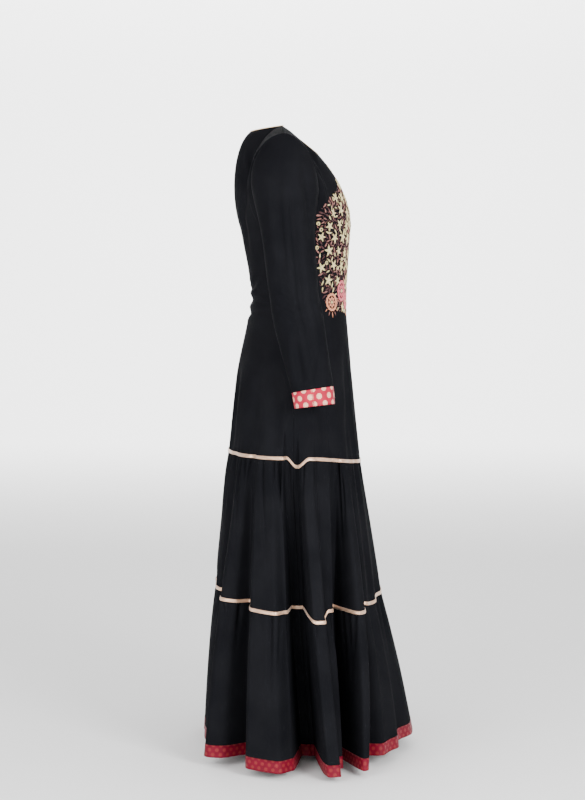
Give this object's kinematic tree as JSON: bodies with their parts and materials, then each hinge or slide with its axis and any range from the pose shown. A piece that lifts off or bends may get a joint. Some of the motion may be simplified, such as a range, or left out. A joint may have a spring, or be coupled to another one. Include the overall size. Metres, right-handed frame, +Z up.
{
  "type": "abaya",
  "caption": "Full-length long-sleeved abaya as worn, with a fitted bodice, gathered tiers, satin piping, and brocade cuffs and hem border.",
  "frame": {"origin": "centre of the neck opening, level with the high shoulder point, where the wearer's shoulders hold the garment", "axes": "+Z up along the wearer, front towards -Y, the wearer's right hand at -X"},
  "size_m": [0.7906, 0.4944, 1.4307],
  "materials": {
    "crepe": "black crepe, matt with a faint cool sheen",
    "brocade": "crimson silky brocade with cream-gold woven discs",
    "satin": "champagne satin piping, glossy",
    "thread": "raised embroidery in cream-gold, rose and maroon thread"
  },
  "bodies": {
    "root": {"front_centre": "crepe", "front_side_left": "crepe", "front_side_right": "crepe", "back": "crepe", "sleeve_left": "crepe", "sleeve_right": "crepe", "cuff_left": "brocade", "cuff_right": "brocade", "tier_upper_front": "crepe", "tier_upper_back": "crepe", "tier_lower_front": "crepe", "tier_lower_back": "crepe", "hem_front": "brocade", "hem_back": "brocade", "neck_piping": "satin", "piping_upper": "satin", "piping_lower": "satin"}
  },
  "joints": []
}
